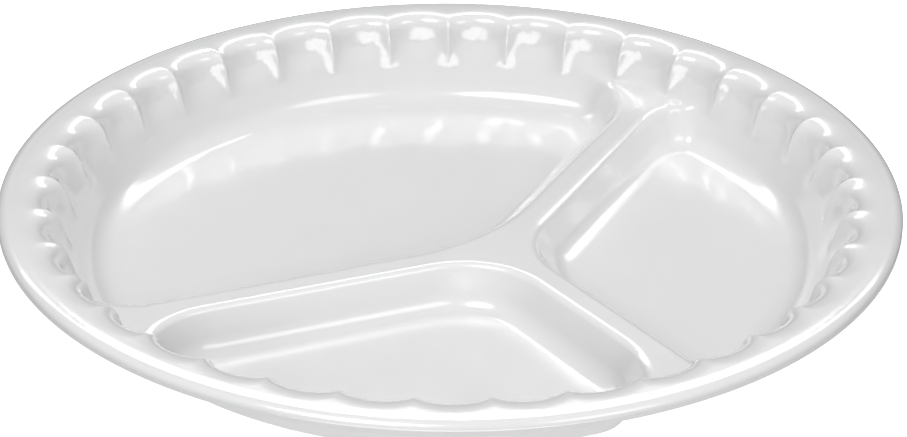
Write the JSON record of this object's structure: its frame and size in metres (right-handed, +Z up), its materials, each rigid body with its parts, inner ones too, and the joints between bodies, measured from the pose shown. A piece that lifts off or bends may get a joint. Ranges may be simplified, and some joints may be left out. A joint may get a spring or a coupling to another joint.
{
  "type": "compartment plate",
  "caption": "Round disposable foam plate with a fluted side wall and a Y-shaped divider that splits it into compartments; a thin glossy film covers its eating side.",
  "frame": {"origin": "centre of the plate in plan, on the plane that the plate rests on", "axes": "+Z is up out of the bowl; +X runs to the plate's right and +Y to its back, with the divider's arms at 64, 201 and 306 degrees from +X"},
  "size_m": [0.26, 0.26, 0.0256],
  "materials": {
    "white_foam": "satin white expanded polystyrene foam with a fine bead grain",
    "gloss_film": "glossy smooth white polystyrene film"
  },
  "bodies": {
    "root": {"foam_core": "white_foam", "top_film": "gloss_film"}
  },
  "joints": []
}
